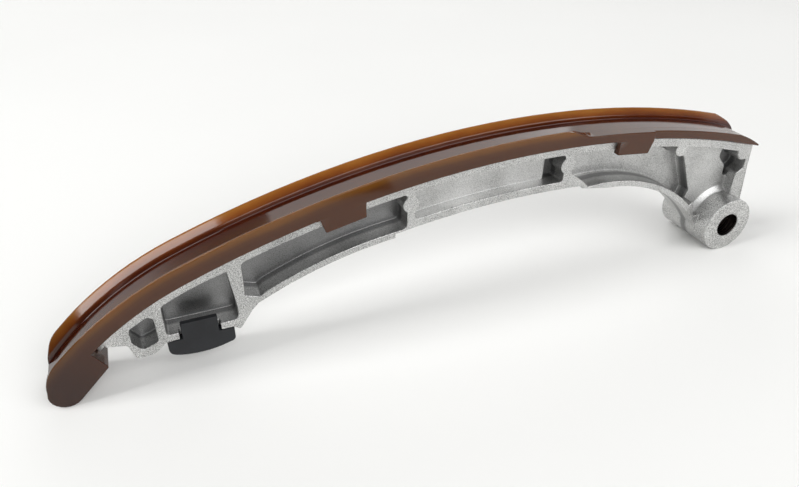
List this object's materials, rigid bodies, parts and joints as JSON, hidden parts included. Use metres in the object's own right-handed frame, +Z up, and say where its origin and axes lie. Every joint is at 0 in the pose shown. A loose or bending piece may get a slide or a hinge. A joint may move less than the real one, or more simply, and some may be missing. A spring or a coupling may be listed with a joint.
{
  "type": "timing chain guide",
  "caption": "Curved timing chain guide arm: ribbed die-cast arm with a pivot boss, a clip-on lipped nylon running shoe and a small plunger pad under its free end.",
  "frame": {"origin": "middle of the pivot bore", "axes": "+X from the nose towards the pivot end along the arm, +Y along the pivot bore to the back, +Z up from the underside to the running face"},
  "size_m": [0.2727, 0.026, 0.0647],
  "materials": {
    "aluminium": "as-cast and shot-blasted, fine even grain",
    "brown_nylon": "glossy injection-moulded nylon, amber at thin edges",
    "black_nylon": "satin moulded black nylon"
  },
  "bodies": {
    "root": {"arm": "aluminium", "shoe": "brown_nylon", "pad": "black_nylon"}
  },
  "joints": []
}
